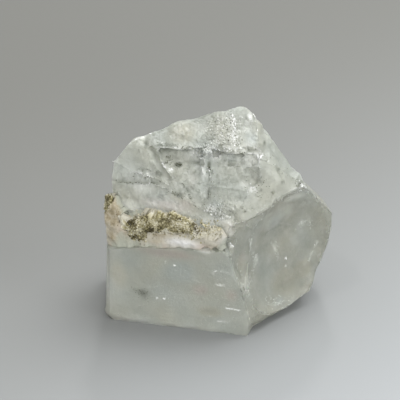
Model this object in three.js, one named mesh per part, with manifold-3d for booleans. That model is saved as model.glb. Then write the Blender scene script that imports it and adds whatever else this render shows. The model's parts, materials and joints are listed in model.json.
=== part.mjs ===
// A rough topaz crystal with a seam of pale feldspar and a crust of mica on its front ledge.
// Millimetres, +Z up, -Y is the front. The model is first laid out with x = 0 at the crystal's
// left side, y = 0 at its front corner and z = 0 on the flat cleavage that it rests on.
// The finished group is then moved so that its origin is the bottom centre of its box.

import * as THREE from 'three';
import { ConvexGeometry } from 'three/addons/geometries/ConvexGeometry.js';
import { mergeVertices } from 'three/addons/utils/BufferGeometryUtils.js';
import Module from 'manifold-3d';

const wasm = await Module();
wasm.setup();

// ---- driving dimensions ----

const ledgeLeft = 11.1; // height of the front ledge at its left end
const ledgeRight = 13.4; // height of the front ledge at its right end
const contactGap = 0.3; // between minerals that touch
const scoopStep = 1.4; // size of the triangles on a conchoidal scoop

// ---- solids ----

// A closed geometry as a solid that can be joined and cut.
function solidOf(geometry) {
  const bare = geometry.index ? geometry.toNonIndexed() : geometry.clone();
  bare.deleteAttribute('normal');
  bare.deleteAttribute('uv');
  const merged = mergeVertices(bare, 1e-3);
  return new wasm.Manifold(
    new wasm.Mesh({
      numProp: 3,
      vertProperties: merged.attributes.position.array,
      triVerts: new Uint32Array(merged.index.array),
    }),
  );
}

function geometryOf(solid) {
  const mesh = solid.getMesh();
  const geometry = new THREE.BufferGeometry();
  geometry.setAttribute('position', new THREE.BufferAttribute(mesh.vertProperties, 3));
  geometry.setIndex(new THREE.BufferAttribute(mesh.triVerts, 1));
  return geometry;
}

function without(solid, cuts) {
  return cuts.reduce((rest, cut) => rest.subtract(cut), solid);
}

// The convex block with these corners.
function block(corners) {
  return solidOf(new ConvexGeometry(corners.map((corner) => new THREE.Vector3(...corner))));
}

// A ball, stretched upwards, that breaks out a conchoidal scoop.
function scoop(radius, stretch, centre) {
  const ball = new THREE.IcosahedronGeometry(radius, Math.round(radius / scoopStep));
  ball.scale(1, 1, stretch);
  ball.translate(...centre);
  return solidOf(ball);
}

// The corners of a lump: a coarse ball with its own radius along each axis.
function lumpCorners(centre, radii) {
  const { position } = new THREE.IcosahedronGeometry(1, 1).scale(...radii).translate(...centre).attributes;
  const corner = (_, i) => [position.getX(i), position.getY(i), position.getZ(i)];
  return Array.from({ length: position.count }, corner);
}

// One solid through a row of corner lists: each list and the next make a convex link.
function chain(rows) {
  return rows
    .slice(1)
    .map((row, i) => block([...rows[i], ...row]))
    .reduce((solid, link) => solid.add(link));
}

// The convex block with these corners, grown by the contact gap on every side.
function grownBlock(corners) {
  const steps = lumpCorners([0, 0, 0], [contactGap, contactGap, contactGap]);
  return block(corners.flatMap((corner) => steps.map((step) => step.map((part, i) => part + corner[i]))));
}

// ---- the topaz crystal ----

// The edge where the prism's front face meets the lobe, from its top to near the ground.
const frontEdge = [[17.6, 0.46, 11.5], [18.4, 0.28, 9.6], [19.1, 0.13, 7.3], [20, 0, 2.7]];

// The stubby prism that the crystal stands on. Its top is the ledge.
function prismCorners() {
  const foot = [
    [1.2, 4.3], [19.8, 0], [21, 3.5], [22.5, 9.5], [21.5, 17.5], [16, 21], [5, 20.5], [0.4, 16], [0.6, 6],
  ];
  const leftEdge = [[0.6, 4.5, 0.7], [0, 5.8, 0.7], [0, 16, 0.7]];
  const ledge = [
    [0.6, 15.5, ledgeLeft], [0.45, 5.8, ledgeLeft], [0.9, 4.45, ledgeLeft], [5.8, 3.3, ledgeLeft + 1],
    [16.3, 0.8, ledgeRight - 0.7], [17.4, 3, ledgeRight], [21, 18, ledgeRight], [6, 20, ledgeRight],
  ];
  return [...foot.map(([x, y]) => [x, y, 0]), ...leftEdge, ...ledge, ...frontEdge];
}

// The lobe on the right, whose underside rises off the ground.
function lobeCorners() {
  const foot = [
    [20.1, 0.3, 1.6], [20.4, 1.6, 0.35], [20.8, 4, 0.1], [22.3, 9.5, 0.1], [21.5, 17, 0.1],
    [23.2, 4.5, 0.9], [25.6, 5.5, 1.2], [28, 7, 2], [29, 8, 2.3],
  ];
  const rightEdge = [
    [29.2, 9.5, 3.3], [30.3, 10.2, 5.6], [31.4, 10.8, 8.2], [32, 11.5, 10.7], [32.1, 12, 12.9],
    [31, 13, 14.3], [29.6, 13.5, 15.5], [27.5, 14, 17.5],
  ];
  const topEdge = [
    [16.6, 1.1, 13], [16.9, 2, 16.4], [17.9, 0.9, 16.4], [20, 2.7, 16.8], [23, 5, 18],
    [25.5, 6.8, 18.6], [27.9, 8.4, 18.7],
  ];
  const back = [[30.6, 16.5, 4], [31.4, 16.8, 12], [27, 20.5, 5], [27, 20.5, 15], [18, 21, 3]];
  return [...foot, ...rightEdge, ...topEdge, ...back, ...frontEdge];
}

// The upper block, set back from the ledge and leaning away towards its crest.
function upperCorners() {
  const root = ledgeLeft - 1;
  const foot = [[1.2, 8.2, root], [1, 14.5, root], [6, 19.5, root], [16.4, 2.2, 13], [25, 14, 14]];
  const leftEdge = [[1.2, 7.4, 18.5], [2, 13.5, 19], [1.3, 7.9, 23]];
  const crest = [
    [2.9, 9, 24.3], [4.3, 10.5, 25.1], [6.3, 11, 25.8], [9.1, 12.5, 26.2], [13.3, 14, 27],
    [16.3, 14.5, 27.5], [19.2, 14, 28.3], [21, 13, 28],
  ];
  const rightEdge = [[22.9, 12.2, 25], [25, 10.8, 22], [27.3, 9.3, 20.3], [28, 7.5, 18.8]];
  const lowerEdge = [[25.5, 6, 18.75], [23, 4.5, 18.2], [20, 2.5, 16.9], [17.7, 0.6, 16.6]];
  const front = [[6.8, 8.8, 25.1], [11.9, 8.6, 24.6], [18.7, 7.4, 24.5], [21.6, 6.6, 24.3], [7.9, 5.6, 21.2]];
  const back = [[24.5, 19, 18], [22, 19, 23], [14, 19.5, 24], [5, 17.5, 22]];
  return [...foot, ...leftEdge, ...crest, ...rightEdge, ...lowerEdge, ...front, ...back];
}

// Conchoidal scoops: two on the lobe with a ridge between them, and a notch where the ledge ends.
function scoops() {
  return [
    scoop(14.8, 1.1, [33.6, -3.6, 10.8]),
    scoop(4.2, 1.7, [21, -1.4, 12.8]),
    scoop(1.4, 1.2, [17.6, 0.3, 13.7]),
  ];
}

// Two angular hollows broken out under the upper block's front rim, with a ridge between them.
// Each has its back edges inside the stone and its mouth in front of it.
function hollows() {
  const left = [[7.9, 9.1, 24.3], [13, 8.9, 24.2], [9.3, 5.4, 21.2], [13.4, 4.7, 21]];
  const leftMouth = [[6.6, 3, 26.8], [13.5, 3, 26.7], [13.7, 1.5, 19.6], [8.9, 1.5, 20.2]];
  const right = [[15.3, 8.6, 24.2], [20.4, 7.8, 23.9], [15, 4.6, 21], [21.2, 4.8, 21.2]];
  const rightMouth = [[14.2, 2, 27], [22.4, 2, 26.4], [14.6, 1.5, 19.4], [22.2, 1, 20.2]];
  return [block([...left, ...leftMouth]), block([...right, ...rightMouth])];
}

const crystalBlocks = [prismCorners(), lobeCorners(), upperCorners()];

function crystalSolid() {
  const rough = crystalBlocks.map(block).reduce((solid, next) => solid.add(next));
  return without(rough, [...scoops(), ...hollows()]);
}

// ---- the seam and the micas ----

// Pale feldspar that fills the ledge from its left side to the notch on the right.
// Each slice across the seam is its place along it, how far back it reaches, and its front
// outline from lip to top.
function feldsparSeam() {
  const slices = [
    [0.4, 7.6, [[6, 11.5], [5.4, 12.6], [5.5, 14.8], [6, 16.6], [6.6, 17.6]]],
    [1.6, 10, [[4.6, 11.6], [4.4, 13], [4.7, 15.2], [5.6, 17.4], [6.6, 18.4]]],
    [3.6, 9, [[4.1, 12.1], [3.9, 13], [4.2, 14.6], [4.9, 16.2], [6, 17]]],
    [6, 8, [[3.4, 12.5], [3.3, 13.2], [3.6, 14.8], [4.3, 16.2], [5.2, 16.8]]],
    [9.5, 7, [[2.7, 12.7], [2.5, 13.3], [2.9, 14.8], [3.5, 16.2], [4.4, 16.8]]],
    [13, 6, [[1.9, 12.9], [1.6, 13.4], [1.9, 14.8], [2.3, 16], [3, 16.6]]],
    [16.2, 5, [[0.9, 13.1], [0.5, 13.7], [0.5, 15], [0.8, 16.2], [1.6, 16.9]]],
    [16.8, 4, [[0.9, 13.5], [0.6, 14], [0.6, 14.8], [0.8, 15.6], [1.4, 16.3]]],
  ];
  return chain(
    slices.map(([x, back, outline]) => [
      ...outline.map(([y, z]) => [x, y, z]),
      [x, back, outline.at(-1)[1]],
      [x, back, outline[0][1]],
    ]),
  );
}

// Dark flaky mica that crowns the seam: lumps in a row, thickest on the left, each grown by
// the margin.
function micaCrust(margin) {
  const lumps = [
    [[3.2, 4.6, 15.4], [0.6, 0.7, 0.9]],
    [[4.7, 4.2, 15.7], [0.9, 1, 1.3]],
    [[6.6, 3.9, 16], [1, 1.1, 1.4]],
    [[9.2, 3.2, 16], [1, 1, 1.2]],
    [[11.8, 2.5, 16.1], [0.9, 0.9, 1.1]],
    [[13.9, 1.7, 15.7], [0.8, 0.8, 0.9]],
    [[15.4, 1.2, 15.5], [0.5, 0.6, 0.7]],
  ];
  return chain(lumps.map(([centre, radii]) => lumpCorners(centre, radii.map((radius) => radius + margin))));
}

// A small tuft of mica on the left side, where the seam comes out.
function micaTuft(margin) {
  return block(lumpCorners([0.72, 6.9, 17.2], [0.7 + margin, 0.9 + margin, 1.4 + margin]));
}

// ---- the finished specimen ----

function specimenMesh(name, solid, look) {
  const mesh = new THREE.Mesh(geometryOf(solid), new THREE.MeshStandardMaterial(look));
  mesh.name = name;
  return mesh;
}

const crystalRoom = crystalBlocks.map(grownBlock);
const crust = without(micaCrust(0), crystalRoom);
const tuft = without(micaTuft(0), crystalRoom);
const seam = without(feldsparSeam(), [...crystalRoom, micaCrust(contactGap), micaTuft(contactGap)]);

const specimen = new THREE.Group();
specimen.add(
  specimenMesh('crystal', crystalSolid(), { color: 0xc4ccc4, roughness: 0.3, metalness: 0 }),
  specimenMesh('feldspar_seam', seam, { color: 0xe1d2be, roughness: 0.7, metalness: 0 }),
  specimenMesh('mica_crust', crust, { color: 0x78693c, roughness: 0.45, metalness: 0 }),
  specimenMesh('mica_tuft', tuft, { color: 0x5c5230, roughness: 0.45, metalness: 0 }),
);

const box = new THREE.Box3().setFromObject(specimen);
const middle = box.getCenter(new THREE.Vector3());
specimen.position.set(-middle.x, -middle.y, -box.min.z);

export default specimen;
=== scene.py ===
import json
import math
import random
import time

import bmesh
import bpy
from mathutils import Euler, Matrix, Vector, noise
from mathutils.bvhtree import BVHTree
from mathutils.kdtree import KDTree

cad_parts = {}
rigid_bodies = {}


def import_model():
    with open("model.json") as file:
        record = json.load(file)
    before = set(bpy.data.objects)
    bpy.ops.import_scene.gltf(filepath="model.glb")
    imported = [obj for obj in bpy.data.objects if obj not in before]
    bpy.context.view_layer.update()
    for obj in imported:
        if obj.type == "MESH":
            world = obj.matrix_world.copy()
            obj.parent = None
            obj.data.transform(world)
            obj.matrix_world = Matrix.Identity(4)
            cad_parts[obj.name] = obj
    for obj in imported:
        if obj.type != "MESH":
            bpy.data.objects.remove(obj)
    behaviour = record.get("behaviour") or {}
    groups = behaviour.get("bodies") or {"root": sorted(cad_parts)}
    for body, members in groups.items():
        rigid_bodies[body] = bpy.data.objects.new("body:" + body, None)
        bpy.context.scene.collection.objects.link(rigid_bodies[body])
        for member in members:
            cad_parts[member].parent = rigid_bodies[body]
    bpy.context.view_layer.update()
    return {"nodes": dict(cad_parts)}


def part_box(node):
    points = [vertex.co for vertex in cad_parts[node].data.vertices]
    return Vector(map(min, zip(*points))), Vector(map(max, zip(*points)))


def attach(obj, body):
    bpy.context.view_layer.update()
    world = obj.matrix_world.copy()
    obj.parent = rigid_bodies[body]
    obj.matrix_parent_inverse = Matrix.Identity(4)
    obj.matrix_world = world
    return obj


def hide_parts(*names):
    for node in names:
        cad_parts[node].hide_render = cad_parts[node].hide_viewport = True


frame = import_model()
mm = 0.001
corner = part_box("crystal")[0]  # the stone's measures below are in mm from this corner of its box


def place(point):
    return corner + Vector(point) * mm


def measure(point):
    return (point - corner) / mm


def ease(low, high, value):
    # 0 below low, 1 above high and a smooth step between them
    share = min(max((value - low) / (high - low), 0), 1)
    return share * share * (3 - 2 * share)


def softSpot(point, centre, radii):
    # 1 at the centre of a soft ellipsoid, 0 outside it
    away = sum(((p - c) / r) ** 2 for p, c, r in zip(point, centre, radii))
    return max(0, 1 - away) ** 2


view = {
    "aim": (13.294, 11, 15.445),  # mm, in the stone's measures
    "distance": 186.67,
    "elevation": 27,
    "lens": 120,
    "sensor": 36,
    "clip": (0.01, 10),  # metres
}


def makeCamera():
    data = bpy.data.cameras.new("camera")
    data.lens = view["lens"]
    data.sensor_width = view["sensor"]
    data.clip_start, data.clip_end = view["clip"]
    camera = bpy.data.objects.new("camera", data)
    bpy.context.scene.collection.objects.link(camera)
    tilt = math.radians(view["elevation"])
    back = Vector((0, -math.cos(tilt), math.sin(tilt)))
    camera.location = place(view["aim"]) + back * view["distance"] * mm
    camera.rotation_euler = Euler((math.pi / 2 - tilt, 0, 0))
    bpy.context.scene.camera = camera


# Each lamp: where it stands, what it looks at and its size, in metres, its watts and its colour
lamps = {
    "overhead": {
        "at": (0.16, 0.16, 0.42),
        "aim": (0, 0, 0.01),
        "size": 0.36,
        "power": 1.7,
        "colour": (0.97, 0.99, 1),
    },
    "nearSide": {
        "at": (0.4, -0.2, 0.3),
        "aim": (0, 0, 0.01),
        "size": 0.3,
        "power": 0.5,
        "colour": (0.95, 0.98, 1),
    },
    "glint": {
        "at": (0.02, 0.3, 0.3),
        "aim": (0, 0, 0.02),
        "size": 0.05,
        "power": 0.25,
        "colour": (1, 1, 1),
    },
    "spark": {
        "at": (-0.16, -0.12, 0.42),
        "aim": (0, 0, 0.02),
        "size": 0.035,
        "power": 0.16,
        "colour": (1, 1, 1),
    },
    "fill": {
        "at": (0.05, -0.6, 0.14),
        "aim": (0, 0, 0.01),
        "size": 0.35,
        "power": 1.1,
        "colour": (1, 0.99, 0.96),
    },
}
room = {"colour": (0.62, 0.625, 0.61), "strength": 1.0}


def makeLamps():
    for name, lamp in lamps.items():
        data = bpy.data.lights.new(name, "AREA")
        data.shape = "DISK"
        data.size = lamp["size"]
        data.energy = lamp["power"]
        data.color = lamp["colour"]
        light = bpy.data.objects.new(name, data)
        light.location = lamp["at"]
        toAim = Vector(lamp["aim"]) - Vector(lamp["at"])
        light.rotation_euler = toAim.to_track_quat("-Z", "Y").to_euler()
        bpy.context.scene.collection.objects.link(light)
    world = bpy.data.worlds.new("room")
    bpy.context.scene.world = world
    world.use_nodes = True
    background = world.node_tree.nodes["Background"]
    background.inputs["Color"].default_value = (*room["colour"], 1)
    background.inputs["Strength"].default_value = room["strength"]


class Wire:
    # a node's output, so that shader maths reads as an expression
    def __init__(self, finish, socket):
        self.finish = finish
        self.socket = socket

    def output(self, name):
        # another output of the same node
        return Wire(self.finish, self.socket.node.outputs[name])

    def __add__(self, other):
        return self.finish.worked("ADD", self, other)

    def __radd__(self, other):
        return self.finish.worked("ADD", other, self)

    def __sub__(self, other):
        return self.finish.worked("SUBTRACT", self, other)

    def __rsub__(self, other):
        return self.finish.worked("SUBTRACT", other, self)

    def __mul__(self, other):
        return self.finish.worked("MULTIPLY", self, other)

    def __rmul__(self, other):
        return self.finish.worked("MULTIPLY", other, self)

    def __pow__(self, other):
        return self.finish.worked("POWER", self, other)


class Finish:
    # a material and the one way in which it gets its nodes
    def __init__(self, name):
        self.material = bpy.data.materials.new(name)
        self.material.use_nodes = True
        self.tree = self.material.node_tree
        self.tree.nodes.clear()

    def node(self, kind, settings=None, values=None, out=0):
        made = self.tree.nodes.new(kind)
        for name, value in (settings or {}).items():
            if name == "stops":
                self.setStops(made.color_ramp.elements, value)
            else:
                setattr(made, name, value)
        for name, value in (values or {}).items():
            if isinstance(value, Wire):
                self.tree.links.new(value.socket, made.inputs[name])
            else:
                made.inputs[name].default_value = value
        return Wire(self, made.outputs[out]) if made.outputs else made

    def setStops(self, elements, stops):
        while len(elements) < len(stops):
            elements.new(1)
        for element, (position, colour) in zip(elements, stops):
            element.position = position
            element.color = (*colour, 1)

    def worked(self, operation, first, second):
        return self.node("ShaderNodeMath", {"operation": operation}, {0: first, 1: second})

    def vectors(self, operation, *parts, out="Vector"):
        return self.node("ShaderNodeVectorMath", {"operation": operation}, dict(enumerate(parts)), out)

    def place(self, scale=1, stretch=(1, 1, 1), turn=(0, 0, 0)):
        # object coordinates in mm, times scale
        values = {
            "Vector": self.node("ShaderNodeTexCoord", out="Object"),
            "Rotation": [math.radians(angle) for angle in turn],
            "Scale": [scale * axis / mm for axis in stretch],
        }
        return self.node("ShaderNodeMapping", {}, values)

    def noise(self, scale, detail=3, roughness=0.5, at=None):
        at = at or self.place(scale)
        values = {"Vector": at, "Scale": 1, "Detail": detail, "Roughness": roughness}
        return self.node("ShaderNodeTexNoise", {}, values)

    def cells(self, at, feature="F1"):
        return self.node("ShaderNodeTexVoronoi", {"feature": feature}, {"Vector": at, "Scale": 1})

    def wavering(self, at, amount):
        # a place pushed about by a noise, so that what is drawn there wavers
        push = self.noise(1, 2, at=at).output("Color")
        return self.vectors("MULTIPLY_ADD", push, (amount, amount, amount), at)

    def shards(self, at):
        # broken flakes: a shade for each, and the height of a flat break that each tilts its own way
        cell = self.cells(at)
        colour = cell.output("Color")
        away = self.vectors("SUBTRACT", at, cell.output("Position"))
        tilt = self.vectors("SUBTRACT", colour, (0.5, 0.5, 0.5))
        height = self.vectors("DOT_PRODUCT", away, tilt, out="Value")
        shade = self.node("ShaderNodeSeparateXYZ", {}, {"Vector": colour})
        return shade, height

    def painted(self, name):
        return self.node("ShaderNodeAttribute", {"attribute_name": name}, out="Fac")

    def ramp(self, factor, stops):
        return self.node("ShaderNodeValToRGB", {"stops": stops}, {"Fac": factor})

    def step(self, factor, low, high):
        # 0 where the factor is low, 1 where it is high
        values = {"Value": factor, "From Min": low, "From Max": high}
        return self.node("ShaderNodeMapRange", {"interpolation_type": "SMOOTHSTEP"}, values)

    def mix(self, factor, first, second, blend="MIX"):
        settings = {"data_type": "RGBA", "blend_type": blend}
        first = first if isinstance(first, Wire) else (*first, 1)
        second = second if isinstance(second, Wire) else (*second, 1)
        return self.node("ShaderNodeMix", settings, {0: factor, 6: first, 7: second}, out=2)

    def bump(self, height, strength, distance):
        values = {"Height": height, "Strength": strength, "Distance": distance * mm}
        return self.node("ShaderNodeBump", {}, values)

    def surface(self, values):
        return self.node("ShaderNodeBsdfPrincipled", {}, values)

    def finish(self, surface, volume=None):
        values = {"Surface": surface}
        if volume:
            values["Volume"] = volume
        self.node("ShaderNodeOutputMaterial", {}, values)
        return self.material


# The floor is painted lighter towards the right and the front: a painted pool of light
paper = {
    "size": 4,
    "far": (0.172, 0.171, 0.158),
    "near": (0.42, 0.435, 0.45),
    "roughness": 0.75,
    "slope": (0.9, -1.2),  # it pales towards the right and the front
    "range": (-0.19, 0.06),
    "mottle": (0.3, 0.3, 0.3),
}


def paperMaterial():
    f = Finish("paper")
    split = f.node("ShaderNodeSeparateXYZ", {}, {"Vector": f.node("ShaderNodeTexCoord", out="Object")})
    # painted light: the floor's colour rises from far to near along this slope
    slope = split * paper["slope"][0] + split.output("Y") * paper["slope"][1]
    low, high = paper["range"]
    share = f.node("ShaderNodeMapRange", {}, {"Value": slope, "From Min": low, "From Max": high})
    colour = f.mix(share ** 3, paper["far"], paper["near"])
    colour = f.mix(f.noise(0.8, detail=4) * 0.04, colour, paper["mottle"])
    return f.finish(f.surface({"Base Color": colour, "Roughness": paper["roughness"]}))


def newPiece(name, shape, material):
    mesh = bpy.data.meshes.new(name)
    shape.to_mesh(mesh)
    shape.free()
    piece = bpy.data.objects.new(name, mesh)
    bpy.context.scene.collection.objects.link(piece)
    if material:
        mesh.materials.append(material)
    return piece


def makeFloor():
    shape = bmesh.new()
    bmesh.ops.create_grid(shape, x_segments=1, y_segments=1, size=paper["size"] / 2)
    newPiece("floor", shape, paperMaterial())


def cadCopy(nodeName):
    shape = bmesh.new()
    shape.from_mesh(frame["nodes"][nodeName].data)
    bmesh.ops.remove_doubles(shape, verts=shape.verts, dist=1e-6)
    return shape


def applied(piece):
    # the piece's mesh with its modifiers made real
    bpy.context.view_layer.update()
    graph = bpy.context.evaluated_depsgraph_get()
    mesh = bpy.data.meshes.new_from_object(piece.evaluated_get(graph), depsgraph=graph)
    piece.modifiers.clear()
    old = piece.data
    piece.data = mesh
    bpy.data.meshes.remove(old)
    return mesh


def remeshed(piece, look):
    modifier = piece.modifiers.new("skin", "REMESH")
    modifier.mode = "SHARP"
    modifier.octree_depth = look["depth"]
    modifier.scale = look["fill"]
    modifier.use_remove_disconnected = True
    modifier.threshold = 0.1
    return applied(piece)


def drawnIn(mesh, reach):
    # vertices that stand out from their neighbours like needles are drawn in to them, twice over
    shape = bmesh.new()
    shape.from_mesh(mesh)
    for vertex in [*shape.verts] * 2:
        around = [edge.other_vert(vertex).co for edge in vertex.link_edges]
        middle = sum(around, Vector()) / len(around)
        if (vertex.co - middle).length > reach * mm:
            vertex.co = middle
    shape.to_mesh(mesh)
    shape.free()


def nearby(mesh):
    # finds the vertices near a point, all in the stone's measures
    tree = KDTree(len(mesh.vertices))
    for vertex in mesh.vertices:
        tree.insert(measure(vertex.co), vertex.index)
    tree.balance()
    return tree


def dab(tree, values, centre, radii, amount):
    # a soft ellipsoid of paint
    for point, index, away in tree.find_range(Vector(centre), max(radii)):
        values[index] += amount * softSpot(point, centre, radii)


def dabAll(tree, paint, marks):
    for name, spots in marks.items():
        for centre, reach, amount in spots:
            dab(tree, paint[name], centre, reach, amount)


def stroke(tree, values, points, width, amount, broken=0):
    # a soft line of paint from point to point, with little care for how deep the skin lies there
    strongest = {}
    for start, end in zip(points, points[1:]):
        start = Vector(start)
        along = Vector(end) - start
        for point, index, away in tree.find_range(start + along / 2, along.length / 2 + width + 0.6):
            share = min(max((point - start).dot(along) / along.length_squared, 0), 1)
            offset = point - start - along * share
            offset.y *= 0.3
            near = 1 - (offset.length / width) ** 2
            if near > 0:
                near *= 1 - broken * ease(0.15, -0.15, noise.noise(point * 1.9))
                strongest[index] = max(strongest.get(index, 0), near)
    for index, near in strongest.items():
        values[index] += amount * near ** 1.5


def paintedOn(mesh, paint):
    for name, amounts in paint.items():
        clipped = [min(max(amount, 0), 1) for amount in amounts]
        mesh.attributes.new(name, "FLOAT", "POINT").data.foreach_set("value", clipped)


def scallops(q, size):
    # shallow dishes with ridges between them, 0 in the middle of a dish
    return min(1, noise.voronoi(q / size)[0][0] ** 2)


def facets(q, size):
    # flat breaks, each tilted its own way
    away, points = noise.voronoi(q / size)
    heights = []
    for distance, point in zip(away, points):
        tilt = noise.cell_vector(point * 37) - Vector((0.5, 0.5, 0.5))
        heights.append(tilt.dot(q / size - point) + 0.35 * distance)
    return min(max(min(heights) + 0.3, 0), 1)


topaz = {
    "ior": 1.62,
    "absorb": (0.70, 0.72, 0.60),
    "density": 14,  # per metre
    "bigFlakes": 0.4,  # flakes per mm, as the next two are
    "smallFlakes": 1.3,
    "grains": 4.0,
    "lie": (0, 28, 0),  # how the flakes are turned, in degrees
    "relief": 0.4,  # mm, as the next one is
    "scatter": 1.3,  # how far light strays in the milky parts
    "milkyRoughness": 0.35,
    "cool": (0.60, 0.645, 0.61),
    "warm": (0.68, 0.665, 0.555),
    "rosy": (0.66, 0.58, 0.52),
    "shadow": (0.15, 0.165, 0.12),
    "white": (1.0, 1.0, 0.97),
}
# the dark and light paints carry painted shade and painted light as well as the stone's own tones
topazPaints = ("frost", "sparkle", "dark", "light", "warm", "rosy", "rough", "cracked", "worn")


def topazMaterial():
    f = Finish("topaz")
    paints = {name: f.painted(name) for name in topazPaints}
    cracked = paints["cracked"]
    cloud = f.noise(0.35, detail=3, roughness=0.5)
    patch = f.noise(1.1, detail=4, roughness=0.65)
    fine = f.noise(2.6, detail=5, roughness=0.65)
    bigPlace = f.wavering(f.place(topaz["bigFlakes"], (1.2, 1, 0.75), topaz["lie"]), 1.1)
    bigShade, bigTilt = f.shards(bigPlace)
    smallPlace = f.wavering(f.place(topaz["smallFlakes"], (1.2, 1, 0.8), topaz["lie"]), 0.9)
    smallShade, smallTilt = f.shards(smallPlace)
    # here and there the border between two flakes is a dark crack, with a painted highlight along its lip
    border = f.cells(bigPlace, "DISTANCE_TO_EDGE")
    parted = f.step(patch, 0.5, 0.6) * cracked
    gap = f.step(border, 0.03, 0.0) * parted
    lipHighlight = f.step(border, 0.07, 0.04) * f.step(border, 0.02, 0.04) * f.step(fine, 0.45, 0.6) * parted
    # small dots: painted shade in pits and painted glints
    grain = f.cells(f.wavering(f.place(topaz["grains"], (1, 1, 0.7), topaz["lie"]), 0.8))
    size = f.step(grain, 0.4, 0.2)
    kind = grain.output("Color")
    pitShade = size * f.step(kind, 0.38, 0.3) * (cracked * 0.5 + paints["sparkle"] * 0.35)
    paintedGlint = size * f.step(kind, 0.62, 0.68) * (cracked * 0.35 + paints["sparkle"])

    tone = ((bigShade - 0.5) * 0.35 + (smallShade - 0.5) * 0.35 + (patch - 0.5) * 0.4) * cracked
    haze = (f.noise(0.5, detail=5, roughness=0.6) - 0.5) * (1 - cracked) * 1.5
    height = fine * 0.25 + (bigTilt * 1.2 + smallTilt * 1.4) * cracked + grain * paints["sparkle"] * 0.6
    relief = f.bump(height, 1, topaz["relief"])

    tint = f.mix(paints["warm"], topaz["cool"], topaz["warm"])
    tint = f.mix(paints["rosy"], tint, topaz["rosy"])
    # what darkens the tint: the dark paint (real dark spots and painted shade), cracks, painted shade in
    # pits and random tone
    darkened = paints["dark"] + gap * 0.6 + pitShade * 0.6 - tone * 0.6 - haze * 0.3
    tint = f.mix(darkened, tint, topaz["shadow"])
    # what lightens the tint: random tone and haze, the light paint (whitish clouds and painted light),
    # painted glints and painted highlights on crack lips
    lightened = tone * 0.6 + haze * 0.4 + paints["light"] + paintedGlint * 0.9 + lipHighlight * 0.5
    # worn edges are painted a little lighter here: a painted edge highlight
    tint = f.mix(lightened + paints["worn"] * 0.08, tint, topaz["white"])
    clear = f.surface({
        "Base Color": f.mix(0.55, (1, 1, 1), tint),
        "Roughness": paints["rough"] + fine * 0.1 + smallShade * cracked * 0.2 + paints["worn"] * 0.2,
        "Normal": relief,
        "Transmission Weight": 1,
        "IOR": topaz["ior"],
    })
    milky = f.surface({
        "Base Color": tint,
        "Roughness": topaz["milkyRoughness"],
        "Normal": relief,
        "IOR": topaz["ior"],
        "Subsurface Weight": 0.4,
        "Subsurface Radius": (1, 1, 0.9),
        "Subsurface Scale": topaz["scatter"] * mm,
    })
    share = paints["frost"] + (cloud - 0.5) * 0.35 + tone * 0.4 + paints["light"] * 0.5 + paintedGlint
    surface = f.node("ShaderNodeMixShader", {}, {0: share, 1: clear, 2: milky})
    absorption = {"Color": (*topaz["absorb"], 1), "Density": topaz["density"]}
    return f.finish(surface, f.node("ShaderNodeVolumeAbsorption", {}, absorption))


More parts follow.
